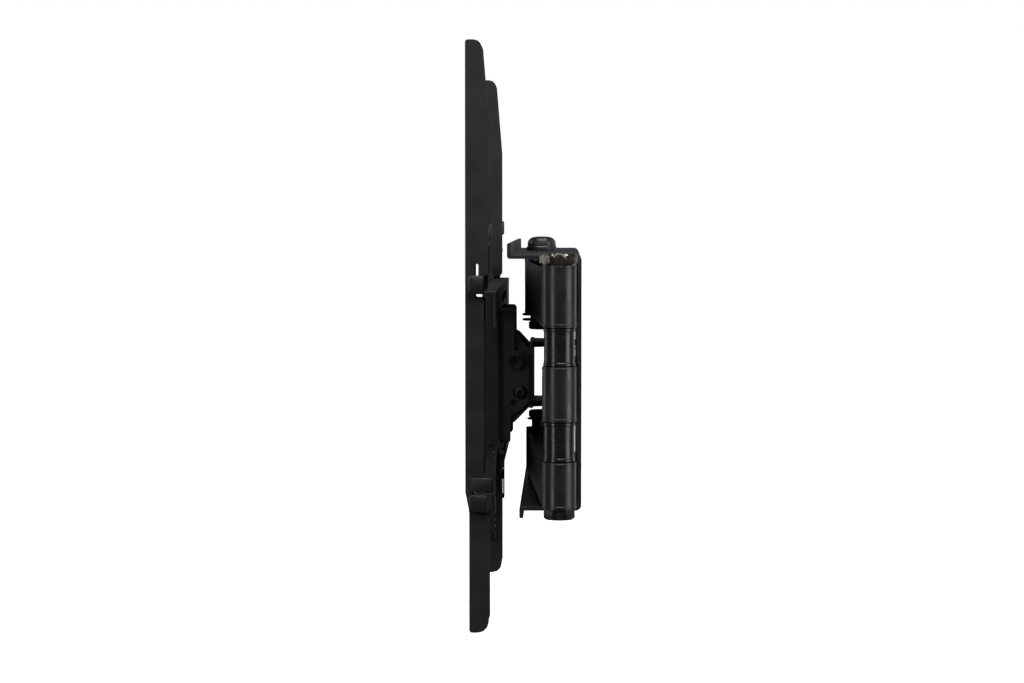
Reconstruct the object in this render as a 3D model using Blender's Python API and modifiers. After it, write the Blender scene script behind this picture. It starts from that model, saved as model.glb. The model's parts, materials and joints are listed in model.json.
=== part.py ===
"""Full motion TV wall mount, folded flat against the wall.

The wall plate holds a two-link arm: a pair of bars swings from the wall pivot to the elbow, and one
bar comes back from the elbow to the head. The head pans on its pin and tilts on its bolt. It carries
two rails, and a bracket for each side of the television hooks over them.

Metres, +Z up. The wall is the plane Y = 0, the television is on the -Y side, and the origin is the
centre of the wall plate's back face. The sizes below are in millimetres, and MM makes them metres.
"""

import math

import bmesh
import bpy
from mathutils import Matrix, Vector

MM = 0.001
GAP = 0.3  # between pieces that touch

# Pivots: X and Y of the vertical axes, and Y and Z of the tilt axis, which lies along X
WALL_PIVOT = (0.0, -30.7)
ELBOW = (286.0, -15.9)
HEAD_PIVOT = (0.0, -16.0)
TILT = (-49.6, 6.8)
LOCK_BOLT = (-46.9, -17.9)

# Wall plate: a channel with turned-out lips
PLATE_HALF_WIDTH = 225.0
PLATE_HALF_HEIGHT = 92.5
PLATE_STEEL = 3.0
TOP_FLANGE, BOTTOM_FLANGE = -53.8, -44.9
TOP_LIP, BOTTOM_LIP = 100.7, -98.0
STUD_SPACING = 406.4
SLOT_ROWS = (-62.0, 62.0)

# Bars of the arm: lowest and highest Z
UPPER_BAR = (42.8, 86.1)
MIDDLE_BAR = (-23.1, 15.3)
LOWER_BAR = (-84.1, -51.4)
BARREL_RADIUS = 12.0
PIVOT_BOLT_RADIUS = 5.0
ELBOW_BOLT_RADIUS = 6.0
SLEEVE_RADIUS = 11.2
WALL_BARREL_RADIUS = 13.5
BAR_HALF_DEPTH = 11.6
BAR_STEEL = 2.5

# Head: the yoke's cheeks sit inside the tilt frame's flanges
YOKE_HALF_WIDTH = 51.0
FRAME_HALF_WIDTH = 55.0
HEAD_STEEL = 3.0
TILT_BOLT_RADIUS = 4.0
LOCK_BOLT_RADIUS = 2.6

# Rails: a front flange that the brackets hook over, a shelf and a back web
RAIL_HALF_LENGTH = 226.0
RAIL_STEEL = 2.0
RAIL_FRONT, RAIL_BACK = -77.0, -61.7
UPPER_RAIL = (76.4, 66.0, 40.0)  # Z of the flange's edge, the shelf's outer face and the web's edge
LOWER_RAIL = (-92.5, -82.0, -54.0)

# Brackets, in the place of the raised one: the other sits lower by its levelling travel
BRACKET_CENTRE = 200.0
BRACKET_HALF_WIDTH = 18.0
BRACKET_STEEL = 2.0
BRACKET_FRONT = -84.2
BRACKET_TOP, BRACKET_BOTTOM = 247.5, -182.5
BRACKET_SET_BACK = 2.8  # of the front face below the lower rail
SET_BACK_FROM, SET_BACK_TO = -80.0, -94.0
LEVEL_TRAVEL = 9.0
SCREW_Y = -70.6

# Colour, roughness, metallic
FINISHES = {
    "black_paint": ((0.022, 0.022, 0.024, 1.0), 0.45, 0.0),
    "black_plastic": ((0.012, 0.012, 0.013, 1.0), 0.55, 0.0),
    "black_steel": ((0.03, 0.03, 0.032, 1.0), 0.38, 0.6),
    "zinc": ((0.62, 0.58, 0.50, 1.0), 0.3, 1.0),
    "nylon": ((0.10, 0.10, 0.10, 1.0), 0.6, 0.0),
}

# Local axes for an outline: its first and second coordinates, and the way it is extruded
ROTATIONS = {
    "X": Matrix(((0, 0, 1), (1, 0, 0), (0, 1, 0))).to_4x4(),
    "Y": Matrix(((1, 0, 0), (0, 0, -1), (0, 1, 0))).to_4x4(),
    "Z": Matrix.Identity(4),
}


def clear_scene():
    for obj in list(bpy.data.objects):
        bpy.data.objects.remove(obj, do_unlink=True)


def new_collection(name):
    collection = bpy.data.collections.new(name)
    bpy.context.scene.collection.children.link(collection)
    return collection


def object_from(mesh, name):
    mesh.shade_smooth()
    mesh.set_sharp_from_angle(angle=math.radians(35))
    obj = bpy.data.objects.new(name, mesh)
    PARTS.objects.link(obj)
    return obj


def block(name, low, high, bevel=0.0):
    """A box between two corners, with its edges bevelled."""
    mesh = bpy.data.meshes.new(name)
    shape = bmesh.new()
    bmesh.ops.create_cube(shape, size=1.0)
    low, high = Vector(low) * MM, Vector(high) * MM
    shape.transform(Matrix.LocRotScale((low + high) / 2, None, high - low))
    shape.to_mesh(mesh)
    shape.free()
    obj = object_from(mesh, name)
    if bevel:
        soften = obj.modifiers.new("edges", "BEVEL")
        soften.width = bevel * MM
        soften.segments = 2
    return obj


def rod(name, axis, centre, radius, low, high, sides=24):
    """A cylinder, or with six sides a hexagon, along axis. centre is its other two coordinates."""
    mesh = bpy.data.meshes.new(name)
    shape = bmesh.new()
    size = {"radius1": radius * MM, "radius2": radius * MM, "depth": (high - low) * MM}
    bmesh.ops.create_cone(shape, cap_ends=True, segments=sides, **size)
    along = (low + high) / 2
    if axis == "X":
        place = Vector((along, *centre)) * MM
        turn = Matrix.Rotation(math.pi / 2, 4, "Y")
    elif axis == "Y":
        place = Vector((centre[0], along, centre[1])) * MM
        turn = Matrix.Rotation(math.pi / 2, 4, "X")
    else:
        place = Vector((*centre, along)) * MM
        turn = Matrix.Identity(4)
    shape.transform(Matrix.Translation(place) @ turn)
    shape.to_mesh(mesh)
    shape.free()
    return object_from(mesh, name)


def turned(name, centre, profile, sides=20):
    """A piece turned about a vertical axis. profile is (radius, Z) from its top down the outer side.

    A profile that starts off the axis is closed, and so makes a ring.
    """
    is_ring = profile[0][0] > 0
    mesh = bpy.data.meshes.new(name)
    ends = len(profile)
    edges = [(i, (i + 1) % ends) for i in range(ends if is_ring else ends - 1)]
    mesh.from_pydata([(r * MM, 0, z * MM) for r, z in profile], edges, [])
    obj = bpy.data.objects.new(name, mesh)
    PARTS.objects.link(obj)
    obj.location = (centre[0] * MM, centre[1] * MM, 0)
    lathe = obj.modifiers.new("lathe", "SCREW")
    lathe.steps = lathe.render_steps = sides
    lathe.use_merge_vertices = True
    lathe.merge_threshold = 0.00005
    return obj


def ring(name, centre, radius, bore, low, high, sides=20):
    edge = min(0.4, (high - low) / 4)
    outer = [(radius - edge, high), (radius, high - edge), (radius, low + edge), (radius - edge, low)]
    return turned(name, centre, [*outer, (bore, low), (bore, high)], sides)


def rounded(corners, steps=4):
    """An outline's points, with an arc of the stated radius at each (x, y, radius) corner."""
    outline = []
    for i, (x, y, radius) in enumerate(corners):
        here = Vector((x, y))
        if not radius:
            outline.append(here)
            continue
        back = (Vector(corners[i - 1][:2]) - here).normalized()
        ahead = (Vector(corners[(i + 1) % len(corners)][:2]) - here).normalized()
        half = back.angle(ahead) / 2
        centre = here + (back + ahead).normalized() * radius / math.sin(half)
        start = here + back * radius / math.tan(half) - centre
        end = here + ahead * radius / math.tan(half) - centre
        first = math.atan2(start.y, start.x)
        sweep = (math.atan2(end.y, end.x) - first + math.pi) % math.tau - math.pi
        for k in range(steps + 1):
            angle = first + sweep * k / steps
            outline.append(centre + radius * Vector((math.cos(angle), math.sin(angle))))
    return outline


def plate(name, axis, outline, low, high):
    """An outline extruded along axis: (Y, Z) points along X, (X, Z) along Y, (X, Y) along Z."""
    curve = bpy.data.curves.new(name, "CURVE")
    curve.dimensions = "2D"
    curve.fill_mode = "BOTH"
    curve.extrude = (high - low) / 2 * MM
    spline = curve.splines.new("POLY")
    spline.points.add(len(outline) - 1)
    for point, (x, y) in zip(spline.points, outline):
        point.co = (x * MM, y * MM, 0, 1)
    spline.use_cyclic_u = True
    guide = bpy.data.objects.new(name + "_outline", curve)
    PARTS.objects.link(guide)
    bpy.context.view_layer.update()
    graph = bpy.context.evaluated_depsgraph_get()
    mesh = bpy.data.meshes.new_from_object(guide.evaluated_get(graph))
    bpy.data.objects.remove(guide, do_unlink=True)
    along = Vector((axis == "X", axis == "Y", axis == "Z"))
    offset = along * (low + high) / 2 * MM
    shape = bmesh.new()
    shape.from_mesh(mesh)
    bmesh.ops.remove_doubles(shape, verts=shape.verts, dist=1e-6)
    shape.transform(Matrix.Translation(offset) @ ROTATIONS[axis])
    bmesh.ops.recalc_face_normals(shape, faces=shape.faces)
    shape.to_mesh(mesh)
    shape.free()
    mesh.materials.clear()
    return object_from(mesh, name)


def combine(target, operation, helpers):
    for helper in helpers:
        modifier = target.modifiers.new(helper.name, "BOOLEAN")
        modifier.operation = operation
        modifier.object = helper
        PARTS.objects.unlink(helper)
        HELPERS.objects.link(helper)
        helper.hide_render = True
        helper.display_type = "WIRE"
    return target


def cut(target, *cutters):
    return combine(target, "DIFFERENCE", cutters)


def join(target, *others):
    return combine(target, "UNION", others)


def slot(name, axis, centre, length, width, low, high, along=0):
    """A cutter for a round-ended slot, along the outline's first coordinate (0) or its second (1)."""
    half, radius = length / 2, width / 2
    sides = (half, radius) if along == 0 else (radius, half)
    corners = [(centre[0] + sx * sides[0], centre[1] + sy * sides[1], radius * 0.98)
               for sx, sy in ((-1, -1), (1, -1), (1, 1), (-1, 1))]
    return plate(name, axis, rounded(corners), low, high)


def pivot(name, location, parent=None):
    """An empty on a joint's axis. What moves with the joint is parented to it."""
    empty = bpy.data.objects.new(name, None)
    PARTS.objects.link(empty)
    empty.location = Vector(location) * MM
    if parent:
        empty.parent = parent
        empty.location -= PLACES[parent.name]
    PLACES[name] = Vector(location) * MM
    return empty


def finish(body, look, *objects):
    """Parents the pieces to their body's empty and gives each its own material."""
    colour, roughness, metallic = FINISHES[look]
    for obj in objects:
        if body:
            obj.parent = body
            obj.matrix_parent_inverse = Matrix.Translation(-PLACES[body.name])
        material = bpy.data.materials.new(obj.name)
        material.use_nodes = True
        shader = material.node_tree.nodes["Principled BSDF"]
        shader.inputs["Base Color"].default_value = colour
        shader.inputs["Roughness"].default_value = roughness
        shader.inputs["Metallic"].default_value = metallic
        obj.data.materials.append(material)


def make_wall_plate():
    back = rounded([
        (0, PLATE_HALF_HEIGHT, 4), (TOP_FLANGE + PLATE_STEEL, PLATE_HALF_HEIGHT, 0),
        (TOP_FLANGE + PLATE_STEEL, TOP_LIP, 1), (TOP_FLANGE, TOP_LIP, 1),
        (TOP_FLANGE, PLATE_HALF_HEIGHT - PLATE_STEEL, 2),
        (-PLATE_STEEL, PLATE_HALF_HEIGHT - PLATE_STEEL, 1),
        (-PLATE_STEEL, PLATE_STEEL - PLATE_HALF_HEIGHT, 1),
        (BOTTOM_FLANGE, PLATE_STEEL - PLATE_HALF_HEIGHT, 2), (BOTTOM_FLANGE, BOTTOM_LIP, 1),
        (BOTTOM_FLANGE + PLATE_STEEL, BOTTOM_LIP, 1),
        (BOTTOM_FLANGE + PLATE_STEEL, -PLATE_HALF_HEIGHT, 0),
        (0, -PLATE_HALF_HEIGHT, 4),
    ])
    wall_plate = plate("wall_plate", "X", back, -PLATE_HALF_WIDTH, PLATE_HALF_WIDTH)
    through = (-PLATE_STEEL - 3, 3)
    for side in (-1, 1):
        for row, height in enumerate(SLOT_ROWS):
            centre = (side * STUD_SPACING / 2, height)
            cut(wall_plate, slot(f"stud_slot_{side}_{row}", "Y", centre, 34, 9, *through))
        cut(wall_plate, slot(f"mid_slot_{side}", "Y", (side * 110, 0), 90, 9, *through))
    for height in SLOT_ROWS:
        cut(wall_plate, slot(f"centre_slot_{height:.0f}", "Y", (0, height), 34, 9, *through))
    for name, low, high in (("top_hole", 85, 96), ("bottom_hole", -96, -85)):
        cut(wall_plate, rod(name, "Z", WALL_PIVOT, PIVOT_BOLT_RADIUS + GAP, low, high))
    finish(None, "black_paint", wall_plate)


def make_wall_pivots():
    """The short bolt through each flange of the plate, with its bush, washers and capped nut."""
    centre, shank, bore = WALL_PIVOT, PIVOT_BOLT_RADIUS, PIVOT_BOLT_RADIUS + GAP
    upper_bolt = turned("upper_pivot_bolt", centre, [
        (0, 97.5), (8, 97.5), (8.5, 97), (8.5, 92.8),
        (shank, 92.8), (shank, 31), (0, 31),
    ])
    lower_bolt = turned("lower_pivot_bolt", centre, [
        (0, -37), (shank, -37), (shank, -92.8),
        (8.5, -92.8), (8.5, -97), (8, -97.5), (0, -97.5),
    ])
    cap = turned("upper_pivot_cap", centre, [
        (0, 104.3), (6.5, 103.8), (10, 102), (11.8, 98.5), (12, 92.8),
        (9.2, 92.8), (9.2, 98.2), (0, 98.2),
    ])
    upper_nut = turned("upper_pivot_nut", centre, [
        (0, 30.4), (bore, 30.4), (bore, 36.3),
        (9.8, 36.3), (10.5, 35.6), (10.5, 30.8), (9, 29.4), (0, 29.4),
    ])
    lower_nut = turned("lower_pivot_nut", centre, [
        (0, -35.3), (9, -35.3), (10.5, -36.6), (10.5, -40.9), (9.8, -41.5),
        (bore, -41.5), (bore, -36.5), (0, -36.5),
    ])
    bush_radius = 11.5
    upper_bush = ring("upper_pivot_bush", centre, bush_radius, bore, UPPER_BAR[1] + GAP, 89.2)
    lower_bush = ring("lower_pivot_bush", centre, bush_radius, bore, -89.2, LOWER_BAR[0] - GAP)
    upper_washer = ring("upper_pivot_washer", centre, 15.5, bore, 40.7, 42.5)
    cone_washer = turned("upper_cone_washer", centre, [
        (9, 40.4), (9, 38.3), (15.2, 38.3), (15.5, 37.9), (15.5, 37), (15.1, 36.6),
        (bore, 36.6), (bore, 40.4),
    ])
    lower_washer = ring("lower_pivot_washer", centre, 12.6, bore, -51.1, -49.3)
    lower_sleeve = ring("lower_pivot_sleeve", centre, 8, bore, -49, -43.3)
    cap_washer = ring("lower_cap_washer", centre, 11.6, bore, -43, -41.8)
    finish(None, "black_steel", upper_bolt, lower_bolt)
    finish(None, "black_steel", upper_washer, cone_washer, lower_washer, cap_washer)
    finish(None, "black_plastic", cap, upper_nut, lower_nut)
    finish(None, "nylon", upper_bush, lower_bush)
    finish(None, "zinc", lower_sleeve)


def bar(name, start, end, start_radius, heights, bore):
    """A pressed-steel bar: a round barrel at each pivot and a channel, open below, between them.

    bore is the radius of the bolt at its start and at its end.
    """
    low, high = heights
    along = Vector(end) - Vector(start)
    across = Vector((-along.y, along.x)).normalized()

    def strip(label, half_depth, inset, bottom, top):
        a = Vector(start) + along.normalized() * inset
        b = Vector(end) - along.normalized() * inset
        half = across * half_depth
        return plate(label, "Z", [a - half, b - half, b + half, a + half], bottom, top)

    roof = high - 1.5
    link = strip(name, BAR_HALF_DEPTH, 0, low + 0.2, roof)
    inside = BAR_HALF_DEPTH - BAR_STEEL
    hollow = strip(name + "_hollow", inside, start_radius + 4, low - 5, roof - BAR_STEEL)
    first = rod(name + "_first", "Z", start, start_radius, low, high, 32)
    last = rod(name + "_last", "Z", end, BARREL_RADIUS, low, high, 32)
    cut(link, hollow)
    join(link, first, last)
    cut(link, rod(name + "_bore_a", "Z", start, bore[0] + GAP, low - 5, high + 5))
    cut(link, rod(name + "_bore_b", "Z", end, bore[1] + GAP, low - 5, high + 5))
    return link


def make_wall_link(body):
    bores = (PIVOT_BOLT_RADIUS, ELBOW_BOLT_RADIUS)
    upper_arm = bar("upper_arm", WALL_PIVOT, ELBOW, WALL_BARREL_RADIUS, UPPER_BAR, bores)
    lower_arm = bar("lower_arm", WALL_PIVOT, ELBOW, WALL_BARREL_RADIUS - 1, LOWER_BAR, bores)
    bolt = rod("elbow_bolt", "Z", ELBOW, ELBOW_BOLT_RADIUS, LOWER_BAR[0] - 4, 92.6)
    head_top = LOWER_BAR[0] - GAP
    join(bolt, rod("elbow_bolt_head", "Z", ELBOW, 11, head_top - 7.3, head_top, 6))
    nut = rod("elbow_nut", "Z", ELBOW, 13.7, UPPER_BAR[1] + GAP, 94, 6)
    bore = ELBOW_BOLT_RADIUS + GAP
    cut(nut, rod("elbow_nut_bore", "Z", ELBOW, bore, 80, 100))
    upper_gap = (MIDDLE_BAR[1] + GAP, UPPER_BAR[0] - GAP)
    lower_gap = (LOWER_BAR[1] + GAP, MIDDLE_BAR[0] - GAP)
    upper_sleeve = ring("elbow_upper_sleeve", ELBOW, SLEEVE_RADIUS, bore, *upper_gap)
    lower_sleeve = ring("elbow_lower_sleeve", ELBOW, SLEEVE_RADIUS, bore, *lower_gap)
    finish(body, "black_paint", upper_arm, lower_arm)
    finish(body, "black_steel", bolt)
    finish(body, "zinc", nut)
    finish(body, "black_plastic", upper_sleeve, lower_sleeve)


def make_tv_link(body):
    bores = (PIVOT_BOLT_RADIUS, ELBOW_BOLT_RADIUS)
    tv_arm = bar("tv_arm", HEAD_PIVOT, ELBOW, BARREL_RADIUS, MIDDLE_BAR, bores)
    finish(body, "black_paint", tv_arm)


def make_head_pin(body):
    pin = turned("head_pin", HEAD_PIVOT, [
        (0, 25.6), (7.5, 25.6), (8.5, 24.6), (8.5, 21.4),
        (PIVOT_BOLT_RADIUS, 21.4), (PIVOT_BOLT_RADIUS, -34.5), (0, -34.5),
    ])
    nut = rod("head_pin_nut", "Z", HEAD_PIVOT, 8, -34.4, -30.9, 6)
    bore = PIVOT_BOLT_RADIUS + GAP
    cut(nut, rod("head_pin_nut_bore", "Z", HEAD_PIVOT, bore, -40, -25))
    washer = ring("head_pin_washer", HEAD_PIVOT, 11.5, bore, -25.7, -23.4)
    finish(body, "black_steel", pin, nut)
    finish(body, "nylon", washer)


def make_yoke(body):
    cheek = rounded([
        (-37.3, 13, 2), (-50, 27, 4), (-57, 27, 3), (-57, -42, 3), (-52, -42, 3), (-37.3, -27, 2),
    ], 3)
    yoke = block("yoke", (-YOKE_HALF_WIDTH + 1, -40, -30.5), (YOKE_HALF_WIDTH - 1, -37, 21))
    for side in (-1, 1):
        inner, outer = sorted((side * (YOKE_HALF_WIDTH - HEAD_STEEL), side * YOKE_HALF_WIDTH))
        join(yoke, plate(f"yoke_cheek_{side}", "X", cheek, inner, outer))
    ear = rounded([(-36, -39.5, 0), (36, -39.5, 0), (13, -3.5, 12), (-13, -3.5, 12)], 6)
    join(yoke, plate("yoke_top_ear", "Z", ear, 16.6, 21.05))
    join(yoke, plate("yoke_bottom_ear", "Z", ear, -30.55, -26))
    cut(yoke, rod("yoke_pin_bore", "Z", HEAD_PIVOT, PIVOT_BOLT_RADIUS + GAP, -40, 30))
    cut(yoke, rod("yoke_tilt_bore", "X", TILT, TILT_BOLT_RADIUS + GAP, -70, 70))
    cut(yoke, rod("yoke_lock_bore", "X", LOCK_BOLT, LOCK_BOLT_RADIUS + GAP, -70, 70, 16))
    finish(body, "black_paint", yoke)
    for side, label in ((1, "right"), (-1, "left")):
        near, far = side * (YOKE_HALF_WIDTH - 6), side * (FRAME_HALF_WIDTH + 2)
        shank = sorted((near, far))
        lock = rod(f"tilt_lock_bolt_{label}", "X", LOCK_BOLT, LOCK_BOLT_RADIUS, *shank, 16)
        face = side * (FRAME_HALF_WIDTH + GAP)
        head = sorted((face, face + side * 3.4))
        join(lock, rod(f"tilt_lock_head_{label}", "X", LOCK_BOLT, 5, *head, 16))
        finish(body, "black_steel", lock)


def rail_outline(heights, grow=0.0):
    """A rail's section: front flange, shelf and back web. grow makes it bigger all round, for a cutter."""
    edge, shelf, web = heights
    up = 1 if edge > 0 else -1
    inner = shelf - up * (RAIL_STEEL + grow)
    front, back = RAIL_FRONT - grow, RAIL_BACK + grow
    return [
        (front, edge + up * grow), (front + RAIL_STEEL + 2 * grow, edge + up * grow),
        (front + RAIL_STEEL + 2 * grow, shelf + up * grow), (back, shelf + up * grow),
        (back, web - up * grow), (back - RAIL_STEEL - 2 * grow, web - up * grow),
        (back - RAIL_STEEL - 2 * grow, inner), (front, inner),
    ]


def make_tilt_frame(body):
    front = block("tilt_frame", (-60, -66.7, -79.4), (60, -64, 63.4))
    flange = rounded([
        (-66, 48, 2), (-51.6, 48, 3), (-51.6, 14.5, 1.5), (-40, 14.5, 7), (-40, -25.6, 6),
        (-47, -32, 3), (-54.6, -36, 3), (-54.6, -58, 3), (-66, -58, 2),
    ])
    for side in (-1, 1):
        inner, outer = sorted((side * (FRAME_HALF_WIDTH - HEAD_STEEL), side * FRAME_HALF_WIDTH))
        join(front, plate(f"frame_flange_{side}", "X", flange, inner, outer))
    cut(front, rod("frame_tilt_bore", "X", TILT, TILT_BOLT_RADIUS + GAP, -70, 70))
    cut(front, slot("frame_lock_slot", "X", LOCK_BOLT, 12, 6.4, -70, 70))
    cut(front, rod("frame_spare_hole", "X", (-52.2, -26.2), 2.4, -70, 70, 16))
    cut(front, slot("frame_window", "Y", (0, 0), 70, 36, -75, -60))
    tilt_bolt = rod("tilt_bolt", "X", TILT, TILT_BOLT_RADIUS, -61, 58)
    head = FRAME_HALF_WIDTH + GAP
    join(tilt_bolt, rod("tilt_bolt_head", "X", TILT, 7, head, head + 4.5, 6))
    tilt_nut = rod("tilt_nut", "X", TILT, 7, -head - 4.5, -head, 6)
    cut(tilt_nut, rod("tilt_nut_bore", "X", TILT, TILT_BOLT_RADIUS + GAP, -70, -50))
    finish(body, "black_paint", front)
    finish(body, "black_steel", tilt_bolt, tilt_nut)
    return front


def make_rails(body, frame):
    """Two rails, the bolts that hold them to the tilt frame, and a plastic cap on each end."""
    caps = {"upper": (-81.8, -70.3, 64.8, 77.4), "lower": (-81.3, -67.2, -93.5, -80.7)}
    bolt_heights = {"upper": 58.0, "lower": -68.0}
    notches = {"upper": (30, 48.6), "lower": (-58.6, -40)}
    for label, heights in (("upper", UPPER_RAIL), ("lower", LOWER_RAIL)):
        rail = plate(f"{label}_rail", "X", rail_outline(heights), -RAIL_HALF_LENGTH, RAIL_HALF_LENGTH)
        low, high = notches[label]
        cut(rail, block(f"{label}_rail_notch", (-56.5, -70, low), (56.5, -50, high)))
        finish(body, "black_paint", rail)
        for side, hand in ((1, "right"), (-1, "left")):
            spot = (side * 40, bolt_heights[label])
            cut(rail, rod(f"{label}_{hand}_rail_hole", "Y", spot, 3 + GAP, -70, -50, 16))
            cut(frame, rod(f"{label}_{hand}_frame_hole", "Y", spot, 3 + GAP, -70, -50, 16))
            bolt = rod(f"rail_bolt_{label}_{hand}", "Y", spot, 3, -69, -60, 16)
            head = (RAIL_BACK + GAP, RAIL_BACK + GAP + 1.4)
            join(bolt, rod(f"rail_bolt_head_{label}_{hand}", "Y", spot, 5.5, *head, 16))
            finish(body, "black_steel", bolt)
            y_low, y_high, z_low, z_high = caps[label]
            x_low, x_high = sorted((side * 222.0, side * 231.0))
            cap = block(f"rail_cap_{label}_{hand}", (x_low, y_low, z_low), (x_high, y_high, z_high), 1.0)
            slot_low, slot_high = sorted((side * 210.0, side * (RAIL_HALF_LENGTH + GAP)))
            outline = rail_outline(heights, GAP)
            cut(cap, plate(f"rail_cap_slot_{label}_{hand}", "X", outline, slot_low, slot_high))
            finish(body, "black_plastic", cap)


def make_cable_clip(body):
    """A ladder of three windows, hung on the back of the lower rail."""
    clip = block("cable_clip", (146, RAIL_BACK + GAP, -90.6), (156, -57.2, -55), 0.5)
    for row, (low, high) in enumerate(((-69.5, -58), (-74.5, -71), (-88, -76))):
        cut(clip, block(f"clip_window_{row}", (140, -60.5, low), (160, -58.2, high)))
    finish(body, "black_plastic", clip)


def make_bracket(side, hand, screw_body, bracket_body, latch_body):
    """One side's levelling screw, rail shoe, hook-on bracket and latch. The left one hangs lowest."""
    centre = side * BRACKET_CENTRE
    drop = 0.0 if side > 0 else LEVEL_TRAVEL
    flank = rounded([
        (BRACKET_FRONT, BRACKET_TOP, 2), (-72.5, BRACKET_TOP, 6), (-69.8, 215, 0), (-67.4, 184.5, 0),
        (-67.4, 77, 3), (-74.6, 77, 0), (-74.6, 85.7, 1), (-77.4, 85.7, 1),
        (-77.4, 61, 1.5), (-70.5, 61, 2), (-70.5, -70.5, 2), (-78.3, -70.5, 1.5),
        (-78.3, -96, 1.5), (-67.1, -96, 2),
        (-67.1, BRACKET_BOTTOM, 8), (BRACKET_FRONT + BRACKET_SET_BACK, BRACKET_BOTTOM, 2),
        (BRACKET_FRONT + BRACKET_SET_BACK, SET_BACK_TO, 0), (BRACKET_FRONT, SET_BACK_FROM, 0),
    ], 3)
    flank = [(y, z - drop) for y, z in flank]
    inside = BRACKET_HALF_WIDTH - BRACKET_STEEL
    web = BRACKET_FRONT + BRACKET_STEEL
    hollow = [
        (web, 320), (web, SET_BACK_FROM - drop), (web + BRACKET_SET_BACK, SET_BACK_TO - drop),
        (web + BRACKET_SET_BACK, -260), (-40, -260), (-40, 320),
    ]
    sides = (centre - BRACKET_HALF_WIDTH, centre + BRACKET_HALF_WIDTH)
    bracket = plate(f"bracket_{hand}", "X", flank, *sides)
    cut(bracket, plate(f"bracket_hollow_{hand}", "X", hollow, centre - inside, centre + inside))
    tab_low, tab_high = (centre - inside - 1, web - 1, 98 - drop), (centre + inside + 1, -67, 101 - drop)
    join(bracket, block(f"bracket_tab_{hand}", tab_low, tab_high))
    screw_place = (centre, SCREW_Y)
    cut(bracket, rod(f"bracket_screw_hole_{hand}", "Z", screw_place, 3.0, 90 - drop, 110 - drop, 16))
    for row, height in enumerate((-150, -100, -50, 0, 50, 150, 200)):
        cut(bracket, slot(f"tv_slot_{hand}_{row}", "Y", (centre, height + 17 - drop), 34, 6.6, -90, -78, 1))
    finish(bracket_body, "black_paint", bracket)
    screw = turned(f"level_screw_{hand}", screw_place, [
        (0, 116), (4.6, 116), (5.3, 115), (5.3, 105.2), (4.6, 104.2),
        (2.5, 104.2), (2.5, 68), (1.6, 66.3), (0, 66.3),
    ], 16)
    shelf_top = LOWER_RAIL[1] + RAIL_STEEL + GAP
    flank_face = BRACKET_HALF_WIDTH + GAP
    near, far = sorted((centre + side * flank_face, centre + side * (flank_face + 2)))
    shoe = block(f"rail_shoe_{hand}", (near, -80.2, shelf_top), (far, -64.2, shelf_top + 10.2), 0.5)
    finish(screw_body, "black_plastic", shoe)
    finish(screw_body, "black_steel", screw)
    near, far = sorted((centre - side * flank_face, centre - side * (flank_face + 6.2)))
    latch = block(f"latch_{hand}", (near, -79.4, -153 - drop), (far, -72.2, -105 - drop), 0.8)
    for row in range(3):
        low = -145 + row * 6 - drop
        groove = ((near - 5, -73.4, low), (far + 5, -70, low + 2.4))
        cut(latch, block(f"latch_groove_{hand}_{row}", *groove))
    finish(latch_body, "black_plastic", latch)


PLACES = {}
clear_scene()
PARTS = new_collection("tv_wall_mount")
HELPERS = new_collection("helpers")

make_wall_plate()
make_wall_pivots()
wall_link = pivot("wall_link", (*WALL_PIVOT, 0))
tv_link = pivot("tv_link", (*ELBOW, 0), wall_link)
head_pin = pivot("head_pin_axis", (*HEAD_PIVOT, 0), tv_link)
yoke_axis = pivot("yoke_axis", (*HEAD_PIVOT, 0), head_pin)
tilt_axis = pivot("tilt_axis", (0, *TILT), yoke_axis)
make_wall_link(wall_link)
make_tv_link(tv_link)
make_head_pin(head_pin)
make_yoke(yoke_axis)
tilt_frame = make_tilt_frame(tilt_axis)
make_rails(tilt_axis, tilt_frame)
make_cable_clip(tilt_axis)
for side, hand in ((1, "right"), (-1, "left")):
    place = (side * BRACKET_CENTRE, SCREW_Y, 0)
    screw_axis = pivot(f"level_axis_{hand}", place, tilt_axis)
    bracket_axis = pivot(f"bracket_axis_{hand}", place, screw_axis)
    latch_axis = pivot(f"latch_axis_{hand}", place, bracket_axis)
    make_bracket(side, hand, screw_axis, bracket_axis, latch_axis)
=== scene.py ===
"""The looks of a full motion TV wall mount: powder-coated steel, moulded plastic and plated hardware.

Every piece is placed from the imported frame. Metres, +Z up, the wall at Y = 0 and the television side at
-Y. Profiles, radii and heights of turned pieces are in millimetres, and MM turns them into metres.
"""

import json
import math

import bmesh
import bpy
from mathutils import Matrix, Vector


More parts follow.
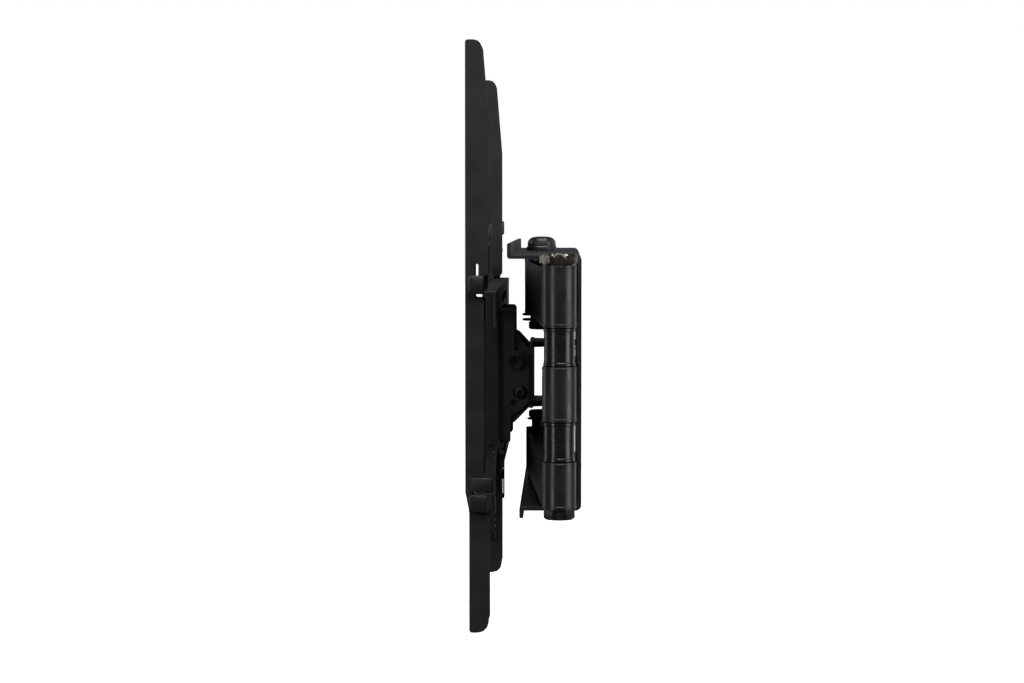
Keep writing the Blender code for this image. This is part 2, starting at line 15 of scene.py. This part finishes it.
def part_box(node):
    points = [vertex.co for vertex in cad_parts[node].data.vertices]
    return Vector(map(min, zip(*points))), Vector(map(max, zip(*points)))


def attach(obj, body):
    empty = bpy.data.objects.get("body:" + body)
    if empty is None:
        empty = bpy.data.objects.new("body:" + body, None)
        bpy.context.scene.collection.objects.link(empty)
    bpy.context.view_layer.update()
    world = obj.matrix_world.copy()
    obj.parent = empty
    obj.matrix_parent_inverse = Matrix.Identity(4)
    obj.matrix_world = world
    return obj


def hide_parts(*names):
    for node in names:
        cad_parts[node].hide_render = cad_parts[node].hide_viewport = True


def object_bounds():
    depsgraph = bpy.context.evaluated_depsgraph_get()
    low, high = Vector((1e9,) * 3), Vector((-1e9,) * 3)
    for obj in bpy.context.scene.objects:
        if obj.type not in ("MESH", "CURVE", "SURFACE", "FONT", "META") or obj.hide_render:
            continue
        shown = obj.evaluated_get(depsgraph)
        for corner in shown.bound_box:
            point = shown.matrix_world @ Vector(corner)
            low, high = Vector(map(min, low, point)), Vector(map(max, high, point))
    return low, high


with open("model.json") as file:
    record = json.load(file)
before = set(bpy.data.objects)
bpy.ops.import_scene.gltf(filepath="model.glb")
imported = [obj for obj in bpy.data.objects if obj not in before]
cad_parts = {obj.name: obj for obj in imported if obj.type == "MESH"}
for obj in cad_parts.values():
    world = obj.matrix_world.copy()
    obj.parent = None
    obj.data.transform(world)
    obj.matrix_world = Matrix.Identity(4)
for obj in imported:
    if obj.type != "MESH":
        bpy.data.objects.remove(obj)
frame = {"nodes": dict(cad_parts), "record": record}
cad_low, cad_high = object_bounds()

MM = 0.001
BODY_OF = {node: body for body, nodes in frame["record"]["behaviour"]["bodies"].items() for node in nodes}
SLOT_OF = {entry["node"]: entry["material_slot"] for entry in frame["record"]["subparts"]}

# Axes of the three vertical pivots, in X and Y
WALL_PIVOT = Vector((0, -0.0307))
ELBOW = Vector((0.286, -0.0159))
HEAD_PIVOT = Vector((0, -0.016))

# Millimetres
PIVOT_BOLT = 5.0  # radius of the bolts at the wall and the head
ELBOW_BOLT = 6.0
TILT_BOLT = 4.0
CLEARANCE = 0.3  # round a bolt
BARREL = 12.0
WALL_BARREL = 13.5
THREAD_DEPTH = 0.45
HEAD_FACE = 55.3  # from the middle of the head out to where its bolts' heads bear

SHARP = math.radians(32)  # a fold sharper than this is an edge

# Turns for pieces that are made along +Z
UPSIDE_DOWN = Matrix.Rotation(math.pi, 4, "X")
TO_RIGHT = Matrix.Rotation(math.pi / 2, 4, "Y")
TO_LEFT = Matrix.Rotation(-math.pi / 2, 4, "Y")
TO_WALL = Matrix.Rotation(-math.pi / 2, 4, "X")


# Materials --------------------------------------------------------------------------------------------

class Nodes:
    """A material under construction, with short names for the nodes that several materials share."""

    def __init__(self, name):
        self.material = bpy.data.materials.new(name)
        self.material.use_nodes = True
        self.tree = self.material.node_tree
        self.shader = self.tree.nodes["Principled BSDF"]
        self.coords = self.tree.nodes.new("ShaderNodeTexCoord").outputs["Object"]

    def link(self, output, socket):
        self.tree.links.new(output, socket)

    def noise(self, scale, detail, stretch=(1, 1, 1)):
        mapping = self.tree.nodes.new("ShaderNodeMapping")
        mapping.inputs["Scale"].default_value = stretch
        texture = self.tree.nodes.new("ShaderNodeTexNoise")
        texture.inputs["Scale"].default_value = scale
        texture.inputs["Detail"].default_value = detail
        self.link(self.coords, mapping.inputs["Vector"])
        self.link(mapping.outputs["Vector"], texture.inputs["Vector"])
        return texture.outputs["Fac"]

    def spread(self, value, low, high):
        """A number that goes from low to high over the middle of a noise's range."""
        remap = self.tree.nodes.new("ShaderNodeMapRange")
        for socket, number in (("From Min", 0.35), ("From Max", 0.65), ("To Min", low), ("To Max", high)):
            remap.inputs[socket].default_value = number
        self.link(value, remap.inputs["Value"])
        return remap.outputs["Result"]

    def blend(self, value, dark, light):
        """A colour that goes from dark to light over the middle of a noise's range."""
        ramp = self.tree.nodes.new("ShaderNodeValToRGB")
        first, last = ramp.color_ramp.elements
        first.position, last.position = 0.35, 0.65
        first.color, last.color = (*dark, 1), (*light, 1)
        self.link(value, ramp.inputs["Fac"])
        return ramp.outputs["Color"]

    def bump(self, height, strength, distance, before=None):
        bump = self.tree.nodes.new("ShaderNodeBump")
        bump.inputs["Strength"].default_value = strength
        bump.inputs["Distance"].default_value = distance
        self.link(height, bump.inputs["Height"])
        if before:
            self.link(before, bump.inputs["Normal"])
        return bump.outputs["Normal"]


def powder_coat(name, dark, light, gloss, grain):
    """Baked powder: a fine orange peel over a gentle waviness, and cloudy gloss."""
    m = Nodes(name)
    m.link(m.blend(m.noise(38, 6), dark, light), m.shader.inputs["Base Color"])
    m.link(m.spread(m.noise(70, 5), gloss - 0.05, gloss + 0.07), m.shader.inputs["Roughness"])
    m.shader.inputs["Coat Weight"].default_value = 0.12
    m.shader.inputs["Coat Roughness"].default_value = 0.3
    peel = m.bump(m.noise(grain, 2), 0.25, 0.0001)
    m.link(m.bump(m.noise(260, 3), 0.10, 0.0002, peel), m.shader.inputs["Normal"])
    return m.material


def plastic(name, dark, light, gloss):
    """Moulded plastic with a fine grain."""
    m = Nodes(name)
    m.link(m.blend(m.noise(55, 5), dark, light), m.shader.inputs["Base Color"])
    m.link(m.spread(m.noise(120, 4), gloss - 0.06, gloss + 0.06), m.shader.inputs["Roughness"])
    m.link(m.bump(m.noise(1100, 3), 0.10, 0.00006), m.shader.inputs["Normal"])
    return m.material


def plated(name, dark, light, gloss, metal):
    """Plated or oxidised steel with drawn streaks and small stains."""
    m = Nodes(name)
    m.shader.inputs["Metallic"].default_value = metal
    m.link(m.blend(m.noise(170, 6), dark, light), m.shader.inputs["Base Color"])
    m.link(m.spread(m.noise(420, 4), gloss - 0.08, gloss + 0.12), m.shader.inputs["Roughness"])
    m.link(m.bump(m.noise(900, 3, (1, 1, 0.12)), 0.2, 0.00008), m.shader.inputs["Normal"])
    return m.material


SHEET = powder_coat("sheet_powder_coat", (0.009, 0.009, 0.0102), (0.015, 0.015, 0.0168), 0.44, 1500)
ARM = powder_coat("arm_powder_coat", (0.006, 0.006, 0.0067), (0.010, 0.010, 0.0112), 0.36, 2200)
PLASTIC = plastic("black_plastic", (0.007, 0.007, 0.008), (0.014, 0.014, 0.015), 0.38)
SLEEVE = plastic("sleeve_plastic", (0.003, 0.003, 0.0034), (0.006, 0.006, 0.0067), 0.28)
NYLON = plastic("grey_nylon", (0.08, 0.08, 0.08), (0.12, 0.12, 0.12), 0.5)
OXIDE = plated("black_oxide", (0.018, 0.018, 0.02), (0.05, 0.048, 0.046), 0.34, 0.75)
ZINC = plated("zinc_plate", (0.07, 0.062, 0.052), (0.20, 0.18, 0.155), 0.24, 1.0)
CAD_MATERIAL = {
    "black_paint": SHEET,
    "black_steel": OXIDE,
    "black_plastic": PLASTIC,
    "zinc": ZINC,
    "nylon": NYLON,
}


# Making pieces ----------------------------------------------------------------------------------------

def place(point, height=0.0):
    return Vector((point.x, point.y, height))


def middle(node):
    low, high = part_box(node)
    return Vector(((low.x + high.x) / 2, (low.y + high.y) / 2, (low.z + high.z) / 2))


def heights(node):
    """The lowest and highest Z of a CAD node, in millimetres."""
    return [corner.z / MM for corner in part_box(node)]


def add_piece(name, mesh, node, material, replaced=()):
    """A piece that rides with a CAD node's body, in the given material. replaced are the nodes it stands
    for.
    """
    obj = bpy.data.objects.new(name, mesh)
    bpy.context.scene.collection.objects.link(obj)
    mesh.materials.clear()
    mesh.materials.append(material)
    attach(obj, BODY_OF[node])
    if replaced:
        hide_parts(*replaced)
    return obj


def smooth(mesh, angle=SHARP):
    mesh.shade_smooth()
    mesh.set_sharp_from_angle(angle=angle)


def refined(node, material, edge):
    """The CAD node's own shape with its flat faces made whole and its edges rounded by edge millimetres."""
    mesh = frame["nodes"][node].data.copy()
    for attribute in [a for a in mesh.attributes if a.name == "custom_normal"]:
        mesh.attributes.remove(attribute)
    shape = bmesh.new()
    shape.from_mesh(mesh)
    bmesh.ops.remove_doubles(shape, verts=shape.verts, dist=2e-6)
    bmesh.ops.dissolve_limit(shape, angle_limit=math.radians(1), verts=shape.verts, edges=shape.edges)
    bmesh.ops.recalc_face_normals(shape, faces=shape.faces)
    shape.to_mesh(mesh)
    shape.free()
    smooth(mesh)
    piece = add_piece(node + "_finished", mesh, node, material, (node,))
    soften = piece.modifiers.new("rounded_edges", "BEVEL")
    soften.width = edge * MM
    soften.segments = 3
    soften.limit_method = "ANGLE"
    soften.angle_limit = SHARP
    soften.harden_normals = True


def swept(profile, sides, radius_at=None):
    """A mesh turned about Z from (radius, Z) points. radius_at scales the radius by angle, radius and Z."""
    shape = bmesh.new()
    rings = []
    for r, z in profile:
        if r == 0:
            rings.append([shape.verts.new((0, 0, z * MM))])
            continue
        ring = []
        for k in range(sides):
            angle = math.tau * k / sides
            reach = r * (radius_at(angle, r, z) if radius_at else 1) * MM
            ring.append(shape.verts.new((reach * math.cos(angle), reach * math.sin(angle), z * MM)))
        rings.append(ring)
    for upper, lower in zip(rings, rings[1:]):
        for k in range(sides):
            after = (k + 1) % sides
            if len(upper) == 1:
                shape.faces.new((upper[0], lower[k], lower[after]))
            elif len(lower) == 1:
                shape.faces.new((upper[k], lower[0], upper[after]))
            else:
                shape.faces.new((upper[k], lower[k], lower[after], upper[after]))
    bmesh.ops.recalc_face_normals(shape, faces=shape.faces)
    mesh = bpy.data.meshes.new("turned")
    shape.to_mesh(mesh)
    shape.free()
    return mesh


def turned(name, node, centre, profile, material, sides, radius_at=None, replaced=(), turn=None):
    mesh = swept(profile, sides, radius_at)
    if turn:
        mesh.transform(turn)
    mesh.transform(Matrix.Translation(centre))
    smooth(mesh)
    return add_piece(name, mesh, node, material, replaced)


def closed_ring(outer, inner, high, low, lip=0.35):
    """A sleeve's or washer's section, from its bore's foot up and round the outside."""
    return [
        (inner, low), (inner, high), (outer - lip, high), (outer, high - lip),
        (outer, low + lip), (outer - lip, low), (inner, low),
    ]


def hexagonal(across):
    """radius_at for a hexagon whose corners are turned off. The profile gives the radius at the corners."""
    core = across / 2 * 0.94

    def radius_at(angle, r, z):
        from_flat = (angle + math.pi / 6) % (math.pi / 3) - math.pi / 6
        flat = across / 2 / math.cos(from_flat)
        return min(1.0, flat / r) if r > core else 1.0
    return radius_at


def hex_head(name, node, centre, across, low, high, material, bore=0.0, socket=0.0, flange=0.0,
             replaced=(), turn=None):
    """A hexagon head or nut, chamfered at its corners. bore, socket and flange are radii."""
    corner = across / math.sqrt(3)
    face = across / 2 * 0.92
    brim = across / 2 * 0.985
    chamfer = (high - low) * 0.16
    profile = [(face, high), (brim, high - 0.02), (corner, high - chamfer)]
    if flange:
        profile += [(corner, low + 1.6), (flange, low + 1.2), (flange, low), (across / 2 * 0.8, low)]
    else:
        profile += [(corner, low + chamfer), (brim, low + 0.02), (face, low)]
    if bore:
        profile = [(bore, low), (bore, high - 0.7), (bore + 0.7, high), *profile, (bore, low)]
    elif socket:
        floor = high - 2.2
        mouth = [(socket * 0.98, floor), (socket, high - 0.3), (socket + 0.3, high)]
        profile = [(0, floor), *mouth, *profile, (0, low)]
    else:
        profile = [(0, high), *profile, (0, low)]
    return turned(name, node, centre, profile, material, 96, hexagonal(across), replaced, turn)


def thread(radius, pitch, high, low):
    """The outline of a threaded stretch, as crests and roots."""
    root = radius - THREAD_DEPTH
    points = []
    for k in range(int((high - low) / pitch)):
        z = high - k * pitch
        crest = [(radius, z - pitch * 0.3), (radius, z - pitch * 0.55)]
        points += [(root, z), *crest, (root, z - pitch * 0.85)]
    return points


def weld_bead(name, node, start, end, radius, material):
    """A stacked-ripple weld down a joint between two points, thinner at its ends."""
    start, end = Vector(start), Vector(end)
    ripple_length = 0.0016
    ripples = max(4, int((end - start).length / ripple_length))
    sides, steps = 10, ripples * 4
    shape = bmesh.new()
    rings = []
    for i in range(steps + 1):
        t = i / steps
        ripple = 0.82 + 0.18 * abs(math.sin(math.pi * t * ripples))
        swell = radius * ripple * min(1, 6 * min(t, 1 - t) + 0.25)
        centre = start.lerp(end, t)
        rings.append([
            shape.verts.new(centre + Vector((math.cos(a), math.sin(a), 0.25 * math.sin(a * 2))) * swell)
            for a in (math.tau * k / sides for k in range(sides))
        ])
    for a, b in zip(rings, rings[1:]):
        for k in range(sides):
            shape.faces.new((a[k], a[(k + 1) % sides], b[(k + 1) % sides], b[k]))
    shape.faces.new(rings[0])
    shape.faces.new(rings[-1])
    bmesh.ops.recalc_face_normals(shape, faces=shape.faces)
    mesh = bpy.data.meshes.new(name)
    shape.to_mesh(mesh)
    shape.free()
    smooth(mesh, math.radians(60))
    return add_piece(name, mesh, node, material)


# Sheet metal and plastic that keep the CAD shape ------------------------------------------------------

def sheet_and_plastic():
    edges = {
        "wall_plate": 0.9, "bracket_right": 0.7, "bracket_left": 0.7, "upper_rail": 0.6, "lower_rail": 0.6,
        "tilt_frame": 0.8, "yoke": 0.8,
    }
    for node, edge in edges.items():
        refined(node, SHEET, edge)
    for node in ("upper_arm", "lower_arm", "tv_arm"):
        refined(node, ARM, 0.8)
    for row in ("upper", "lower"):
        for hand in ("right", "left"):
            refined(f"rail_cap_{row}_{hand}", PLASTIC, 0.5)
    refined("cable_clip", PLASTIC, 0.45)
    for hand in ("right", "left"):
        refined(f"latch_{hand}", PLASTIC, 0.6)
        refined(f"rail_shoe_{hand}", SHEET, 0.3)


def paint_cad():
    """Gives each CAD node the material of its slot, for those that no new piece replaces."""
    for node, obj in frame["nodes"].items():
        obj.data.materials.clear()
        obj.data.materials.append(CAD_MATERIAL[SLOT_OF[node]])


# The elbow --------------------------------------------------------------------------------------------

def elbow_hardware():
    centre = place(ELBOW)
    bore = ELBOW_BOLT + CLEARANCE
    nut_low, nut_high = heights("elbow_nut")
    hex_head("elbow_lock_nut", "elbow_nut", centre, 24.0, nut_low, nut_high, ZINC, bore,
             replaced=("elbow_nut",))
    bolt_low, bolt_high = heights("elbow_bolt")
    head = 7.3
    tip = thread(ELBOW_BOLT, 1.5, bolt_high - 0.6, bolt_high - 8)
    shank = [
        (0, bolt_high), (5.2, bolt_high), *tip, (ELBOW_BOLT, bolt_high - 9),
        (ELBOW_BOLT, bolt_low + head - 0.3), (0, bolt_low + head - 0.3),
    ]
    turned("elbow_bolt_shank", "elbow_bolt", centre, shank, OXIDE, 48, replaced=("elbow_bolt",))
    hex_head("elbow_bolt_hex", "elbow_bolt", centre, 19.0, -bolt_low - head, -bolt_low, OXIDE,
             socket=5.0, flange=10.6, turn=UPSIDE_DOWN)
    for node in ("elbow_upper_sleeve", "elbow_lower_sleeve"):
        low, high = heights(node)
        waist = [
            (bore, low), (bore, high), (10.6, high), (11.2, high - 0.5), (11.2, high - 2.2),
            (10.75, high - 2.8), (10.75, low + 2.8), (11.2, low + 2.2), (11.2, low + 0.5), (10.6, low),
            (bore, low),
        ]
        turned(node + "_moulded", node, centre, waist, SLEEVE, 72, replaced=(node,))


def barrel_rims():
    """The turned collar at each end of the barrels."""
    barrels = (
        ("upper_arm", "elbow", ELBOW, BARREL),
        ("tv_arm", "elbow", ELBOW, BARREL),
        ("lower_arm", "elbow", ELBOW, BARREL),
        ("upper_arm", "pivot", WALL_PIVOT, WALL_BARREL),
        ("tv_arm", "pivot", HEAD_PIVOT, BARREL),
    )
    inset, half_width = 1.5, 0.8
    for node, label, point, radius in barrels:
        low, high = heights(node)
        for end, z in (("top", high - inset), ("bottom", low + inset)):
            section = closed_ring(radius + 0.18, radius - 0.6, z + half_width, z - half_width, 0.25)
            turned(f"{node}_{label}_collar_{end}", node, place(point), section, ARM, 72)


def arm_welds():
    """A bead down each side where a barrel meets its bar."""
    for node in ("upper_arm", "lower_arm", "tv_arm"):
        low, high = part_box(node)[0].z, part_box(node)[1].z
        first = HEAD_PIVOT if node == "tv_arm" else WALL_PIVOT
        along = (ELBOW - first).normalized()
        across = Vector((-along.y, along.x))
        first_reach = 0.0088 if node == "upper_arm" else 0.0062
        for label, point, reach in (("inner", first, first_reach), ("outer", ELBOW, -0.0062)):
            for side, face in ((-0.0111, "front"), (0.0111, "back")):
                spot = point + along * reach + across * side
                top, bottom = place(spot, high - 0.004), place(spot, low + 0.003)
                weld_bead(f"{node}_weld_{label}_{face}", node, top, bottom, 0.0012, ARM)


# The wall pivot ---------------------------------------------------------------------------------------

def lobed(angle, r, z):
    """Six soft flats on the moulded cap."""
    return 1 - 0.045 * (0.5 + 0.5 * math.cos(6 * angle)) * (r > 6)


def wall_pivot_bolts(centre):
    """The cap over the upper bolt, the head of the lower one, and each bolt's nut and threaded end."""
    cap = [
        (0, 104.1), (4.0, 104.0), (7.2, 103.5), (9.6, 102.2), (10.9, 100.4), (11.3, 98.6), (11.3, 96.4),
        (12.0, 95.6), (12.0, 93.1), (11.7, 92.8), (9.4, 92.8), (9.4, 98.0), (0, 98.0),
    ]
    turned("upper_pivot_cap_moulded", "upper_pivot_cap", centre, cap, PLASTIC, 96, lobed,
           ("upper_pivot_cap",))
    hex_head("lower_pivot_bolt_head", "lower_pivot_bolt", centre, 15.0, 92.8, 97.5, OXIDE,
             socket=4.2, flange=8.5, turn=UPSIDE_DOWN)
    nut_bore = PIVOT_BOLT + 0.1
    hex_head("upper_pivot_nut_body", "upper_pivot_nut", centre, 18.0, 29.5, 36.3, PLASTIC, nut_bore,
             replaced=("upper_pivot_nut",))
    hex_head("lower_pivot_nut_body", "lower_pivot_nut", centre, 18.0, -41.5, -35.4, PLASTIC, nut_bore,
             replaced=("lower_pivot_nut",))
    upper_tip = [(0, 42), *thread(PIVOT_BOLT, 1.25, 42, 32), (4.4, 31), (0, 30.6)]
    turned("upper_pivot_thread", "upper_pivot_bolt", centre, upper_tip, OXIDE, 40)
    lower_tip = [(0, -36.4), (4.4, -36.6), *thread(PIVOT_BOLT, 1.25, -37, -48), (4.5, -50), (0, -50)]
    turned("lower_pivot_thread", "lower_pivot_bolt", centre, lower_tip, OXIDE, 40)


def wall_pivot_rings(centre):
    bore = PIVOT_BOLT + CLEARANCE
    for node, outer, material in (
        ("upper_pivot_bush", 11.5, NYLON), ("lower_pivot_bush", 11.5, NYLON),
        ("upper_pivot_washer", 15.5, OXIDE), ("lower_pivot_washer", 12.6, OXIDE),
        ("lower_pivot_sleeve", 8.0, ZINC), ("lower_cap_washer", 11.6, OXIDE),
    ):
        low, high = heights(node)
        section = closed_ring(outer, bore, high, low)
        turned(node + "_turned", node, centre, section, material, 64, replaced=(node,))
    cone = [
        (bore, 36.6), (bore, 40.4), (8.6, 40.4), (9, 40), (9, 38.9), (9.6, 38.3), (15.1, 38.3),
        (15.5, 37.9), (15.5, 37), (15.1, 36.6), (bore, 36.6),
    ]
    turned("upper_cone_washer_turned", "upper_cone_washer", centre, cone, OXIDE, 64,
           replaced=("upper_cone_washer",))


# The head ---------------------------------------------------------------------------------------------

def head_pin_hardware():
    centre = place(HEAD_PIVOT)
    pin = [
        (0, 23.6), (3.2, 23.6), (3.4, 25.4), (6.9, 25.4), (8.2, 24.4), (8.5, 23.4), (8.5, 21.7), (8.2, 21.4),
        (PIVOT_BOLT, 21.4), (PIVOT_BOLT, -34.1), (4.6, -34.5), (0, -34.5),
    ]
    turned("head_pin_turned", "head_pin", centre, pin, OXIDE, 56, replaced=("head_pin",))
    hex_head("head_pin_lock_nut", "head_pin_nut", centre, 13.8, -34.4, -30.9, OXIDE, PIVOT_BOLT + 0.2,
             replaced=("head_pin_nut",))
    washer = closed_ring(11.5, PIVOT_BOLT + CLEARANCE, -23.4, -25.7)
    turned("head_pin_washer_turned", "head_pin_washer", centre, washer, NYLON, 56,
           replaced=("head_pin_washer",))


def tilt_hardware():
    """The bolt that the head tilts on, its nut, and the two bolts that lock the tilt."""
    bolt = middle("tilt_bolt")
    axis = Vector((0, bolt.y, bolt.z))
    outside = HEAD_FACE + 4.5
    hex_head("tilt_bolt_hex", "tilt_bolt", axis, 12.1, HEAD_FACE, outside, OXIDE, socket=3.4, turn=TO_RIGHT)
    shank = [(0, 60.9), (3.4, 60.9), *thread(TILT_BOLT, 1.25, 60.4, 52), (3.9, 51), (3.9, -56), (0, -56)]
    turned("tilt_bolt_shank", "tilt_bolt", axis, shank, OXIDE, 40, None, ("tilt_bolt",), TO_LEFT)
    hex_head("tilt_lock_nut", "tilt_nut", axis, 12.1, HEAD_FACE, outside, OXIDE, TILT_BOLT + 0.2,
             replaced=("tilt_nut",), turn=TO_LEFT)
    button = [
        (0, 1.6), (2.2, 1.6), (2.3, 3.3), (3.1, 3.35), (4.2, 2.8), (4.8, 1.9), (5, 0.9), (5, 0.2), (4.8, 0),
        (2.6, 0), (2.6, -11), (0, -11),
    ]
    for hand, side, turn in (("right", 1, TO_RIGHT), ("left", -1, TO_LEFT)):
        name = f"tilt_lock_bolt_{hand}"
        lock = middle(name)
        spot = Vector((side * HEAD_FACE * MM, lock.y, lock.z))
        turned(name + "_turned", name, spot, button, OXIDE, 48, None, (name,), turn)


def rail_bolts():
    """Low-headed bolts through the rails' webs, with a shallow drive."""
    bearing = -0.0614
    low_head = [
        (0, 0.3), (2.4, 0.3), (2.5, 1.3), (3.4, 1.4), (4.6, 1.3), (5.3, 0.9), (5.5, 0.5), (5.5, 0.2),
        (5.3, 0), (3, 0), (3, -7.6), (0, -7.6),
    ]
    for row in ("upper", "lower"):
        for hand in ("right", "left"):
            name = f"rail_bolt_{row}_{hand}"
            bolt = middle(name)
            spot = Vector((bolt.x, bearing, bolt.z))
            turned(name + "_turned", name, spot, low_head, OXIDE, 48, None, (name,), TO_WALL)


def knurled(angle, r, z):
    return 1 - 0.05 * abs(math.sin(12 * angle)) * (r > 4.9)


def level_screws():
    profile = [
        (0, 115.2), (3.6, 115.4), (4.5, 116), (5.1, 115.4), (5.3, 114.8), (5.3, 105.4), (4.9, 104.6),
        (4.3, 104.2), (2.5, 104.2), *thread(2.6, 1.0, 104, 68.6), (2.0, 68), (1.6, 66.3), (0, 66.3),
    ]
    for hand in ("right", "left"):
        name = f"level_screw_{hand}"
        turned(name + "_turned", name, place(middle(name)), profile, OXIDE, 96, knurled, (name,))


# Stage, lights and camera -----------------------------------------------------------------------------

def make_stage():
    """A white floor that gives no light and doesn't show in reflections."""
    mesh = bpy.data.meshes.new("floor")
    half = 12.0
    height = cad_low.z - 0.045
    corners = ((-half, -half, height), (half, -half, height), (half, half, height), (-half, half, height))
    mesh.from_pydata(corners, [], [(0, 1, 2, 3)])
    floor = bpy.data.objects.new("floor", mesh)
    bpy.context.scene.collection.objects.link(floor)
    pale = bpy.data.materials.new("pale_floor")
    pale.use_nodes = True
    shader = pale.node_tree.nodes["Principled BSDF"]
    shader.inputs["Base Color"].default_value = (0.9, 0.9, 0.9, 1)
    shader.inputs["Roughness"].default_value = 0.9
    shader.inputs["Specular IOR Level"].default_value = 0.0
    shader.inputs["Emission Color"].default_value = (1, 1, 1, 1)
    shader.inputs["Emission Strength"].default_value = 1.0
    mesh.materials.append(pale)
    floor.visible_diffuse = False
    floor.visible_glossy = False


def make_world():
    """White where the camera looks past the object, and a dim room for its reflections."""
    world = bpy.data.worlds.new("studio")
    bpy.context.scene.world = world
    world.use_nodes = True
    tree = world.node_tree
    seen = tree.nodes["Background"]
    seen.inputs["Color"].default_value = (1, 1, 1, 1)
    seen.inputs["Strength"].default_value = 1.0
    room = tree.nodes.new("ShaderNodeBackground")
    room.inputs["Color"].default_value = (0.92, 0.95, 1, 1)
    room.inputs["Strength"].default_value = 0.09
    choose = tree.nodes.new("ShaderNodeMixShader")
    path = tree.nodes.new("ShaderNodeLightPath")
    tree.links.new(path.outputs["Is Camera Ray"], choose.inputs["Fac"])
    tree.links.new(room.outputs["Background"], choose.inputs[1])
    tree.links.new(seen.outputs["Background"], choose.inputs[2])
    tree.links.new(choose.outputs["Shader"], tree.nodes["World Output"].inputs["Surface"])


def softbox(name, azimuth, height, distance, size, watts):
    """A rectangular light turned to the object. azimuth is in degrees from +X towards +Y."""
    light = bpy.data.lights.new(name, "AREA")
    light.shape = "RECTANGLE"
    light.size, light.size_y = size
    light.energy = watts
    obj = bpy.data.objects.new(name, light)
    bpy.context.scene.collection.objects.link(obj)
    angle = math.radians(azimuth)
    obj.location = (distance * math.cos(angle), distance * math.sin(angle), height)
    aim = Vector((0.1, -0.03, 0.02)) - obj.location
    obj.rotation_euler = aim.to_track_quat("-Z", "Y").to_euler()


def make_lights():
    """A narrow and a wide box for the bands down the barrels, and fill from the other sides and above."""
    softbox("left_strip", -41, 0.25, 2.0, (0.20, 1.7), 8.5)
    softbox("right_wide", 62, 0.3, 2.0, (0.95, 1.8), 18)
    softbox("camera_side", 6, 1.3, 2.3, (1.4, 0.7), 13)
    softbox("wall_side", 135, 0.3, 2.2, (1.2, 1.8), 5)
    softbox("tv_side", -115, 0.4, 2.2, (0.9, 1.8), 5)
    softbox("overhead", 20, 2.1, 0.5, (1.2, 1.2), 30)


def make_camera():
    """From the elbow's side, looking along the wall and a little down."""
    camera = bpy.data.objects.new("camera", bpy.data.cameras.new("camera"))
    bpy.context.scene.collection.objects.link(camera)
    camera.data.lens = 94.0
    camera.data.sensor_width = 36.0
    camera.location = (2.150, -0.012, 0.1195)
    camera.rotation_euler = Vector((-1, -0.0198, -0.0465)).to_track_quat("-Z", "Y").to_euler()
    bpy.context.scene.camera = camera


sheet_and_plastic()
paint_cad()
elbow_hardware()
barrel_rims()
arm_welds()
wall_pivot_bolts(place(WALL_PIVOT))
wall_pivot_rings(place(WALL_PIVOT))
head_pin_hardware()
tilt_hardware()
rail_bolts()
level_screws()

make_stage()
make_world()
make_lights()
bpy.context.scene.view_settings.view_transform = "Standard"
make_camera()
